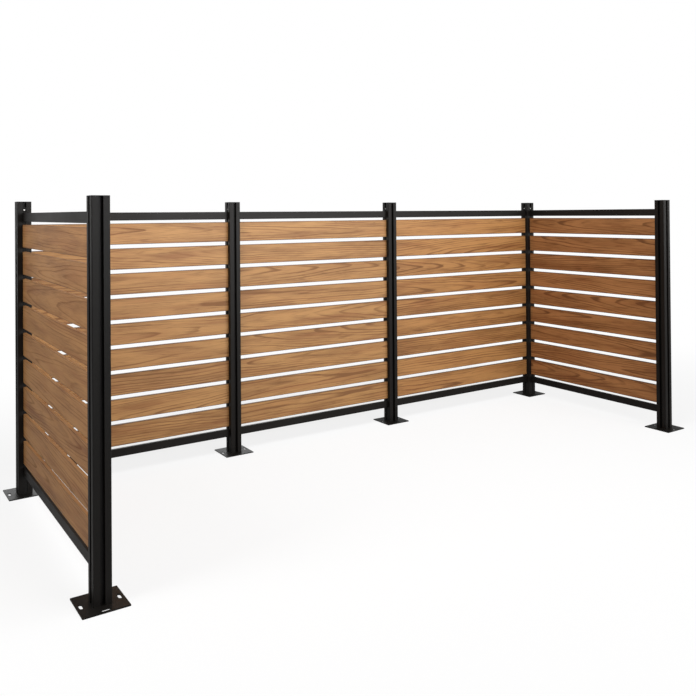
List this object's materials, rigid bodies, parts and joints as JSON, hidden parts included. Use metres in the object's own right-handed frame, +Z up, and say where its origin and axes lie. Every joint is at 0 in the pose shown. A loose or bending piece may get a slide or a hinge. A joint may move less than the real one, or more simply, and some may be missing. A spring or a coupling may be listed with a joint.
{
  "type": "garden privacy screen",
  "caption": "U-shaped garden privacy screen of square channelled posts on base plates, with horizontal wood-look boards between top and bottom rails.",
  "frame": {"origin": "on the floor, at the middle of the footprint of all six base plates", "axes": "+X runs along the rear wall to the right wing, +Y from the open front to the rear wall, +Z up"},
  "size_m": [4.68, 1.84, 1.8],
  "materials": {
    "post_coat": "satin black powder coat on an aluminium extrusion",
    "rail_coat": "satin black powder coat on aluminium tube",
    "plate_coat": "satin black powder coat on aluminium plate",
    "cap_coat": "black moulded plastic",
    "board_wood": "warm brown wood-look board with a fine grain",
    "channel_plastic": "black moulded plastic",
    "screw_steel": "bright stainless steel"
  },
  "bodies": {
    "root": {"front_left_post": "post_coat", "rear_left_post": "post_coat", "rear_inner_left_post": "post_coat", "rear_inner_right_post": "post_coat", "rear_right_post": "post_coat", "front_right_post": "post_coat", "left_wing_board_1": "board_wood", "left_wing_board_2": "board_wood", "left_wing_board_3": "board_wood", "left_wing_board_4": "board_wood", "left_wing_board_5": "board_wood", "left_wing_board_6": "board_wood", "left_wing_board_7": "board_wood", "left_wing_board_8": "board_wood", "left_wing_board_9": "board_wood", "rear_left_board_1": "board_wood", "rear_left_board_2": "board_wood", "rear_left_board_3": "board_wood", "rear_left_board_4": "board_wood", "rear_left_board_5": "board_wood", "rear_left_board_6": "board_wood", "rear_left_board_7": "board_wood", "rear_left_board_8": "board_wood", "rear_left_board_9": "board_wood", "rear_middle_board_1": "board_wood", "rear_middle_board_2": "board_wood", "rear_middle_board_3": "board_wood", "rear_middle_board_4": "board_wood", "rear_middle_board_5": "board_wood", "rear_middle_board_6": "board_wood", "rear_middle_board_7": "board_wood", "rear_middle_board_8": "board_wood", "rear_middle_board_9": "board_wood", "rear_right_board_1": "board_wood", "rear_right_board_2": "board_wood", "rear_right_board_3": "board_wood", "rear_right_board_4": "board_wood", "rear_right_board_5": "board_wood", "rear_right_board_6": "board_wood", "rear_right_board_7": "board_wood", "rear_right_board_8": "board_wood", "rear_right_board_9": "board_wood", "right_wing_board_1": "board_wood", "right_wing_board_2": "board_wood", "right_wing_board_3": "board_wood", "right_wing_board_4": "board_wood", "right_wing_board_5": "board_wood", "right_wing_board_6": "board_wood", "right_wing_board_7": "board_wood", "right_wing_board_8": "board_wood", "right_wing_board_9": "board_wood", "base_plates": "plate_coat", "post_caps": "cap_coat", "top_rails": "rail_coat", "bottom_rails": "rail_coat", "rail_support_blocks": "channel_plastic", "rail_lock_blocks": "channel_plastic", "board_spacers": "channel_plastic", "foot_screws": "screw_steel", "lock_screws": "screw_steel"}
  },
  "joints": []
}
